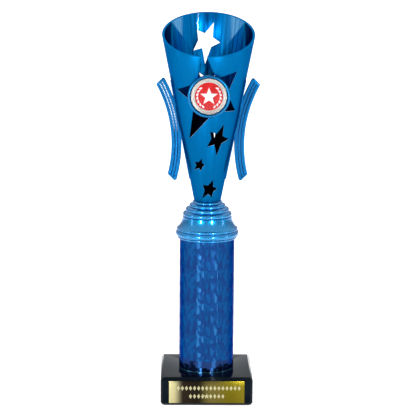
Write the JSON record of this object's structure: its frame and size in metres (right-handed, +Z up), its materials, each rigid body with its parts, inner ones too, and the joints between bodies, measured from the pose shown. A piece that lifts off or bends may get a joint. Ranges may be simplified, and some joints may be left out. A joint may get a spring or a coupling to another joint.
{
  "type": "column trophy",
  "caption": "Award trophy: a slant-rimmed star cup with blade handles and a round centre, on a stepped riser, foil column and marble base with a plate.",
  "frame": {"origin": "centre of the felt's underside, where the trophy rests", "axes": "+Z up the column; the plate and the round centre face -Y"},
  "size_m": [0.0738, 0.0695, 0.2756],
  "materials": {
    "felt": "matte",
    "marble": "polished",
    "plate": "polished, shaded",
    "tape": "matte",
    "plated_steel": "zinc plated",
    "plug_plastic": "moulded",
    "tube_plastic": "extruded",
    "foil": "prism film",
    "riser_blue": "pearl lacquer",
    "cup_blue": "metallised blue lacquer",
    "handle_blue": "metallised blue lacquer",
    "backing": "bright",
    "print": "printed",
    "dome": "clear resin"
  },
  "bodies": {
    "root": {"felt_pad": "felt", "base_block": "marble", "plate_tape": "tape", "engraving_plate": "plate", "base_nut": "plated_steel", "spring_washer": "plated_steel", "penny_washer": "plated_steel", "tie_rod": "plated_steel", "lower_tube_plug": "plug_plastic", "column_tube": "tube_plastic", "foil_sleeve": "foil", "upper_tube_plug": "plug_plastic", "riser": "riser_blue", "cup": "cup_blue", "cup_nut": "plated_steel", "left_handle": "handle_blue", "right_handle": "handle_blue", "centre_holder": "handle_blue", "centre_backing": "backing", "centre_print": "print", "centre_dome": "dome"}
  },
  "joints": []
}
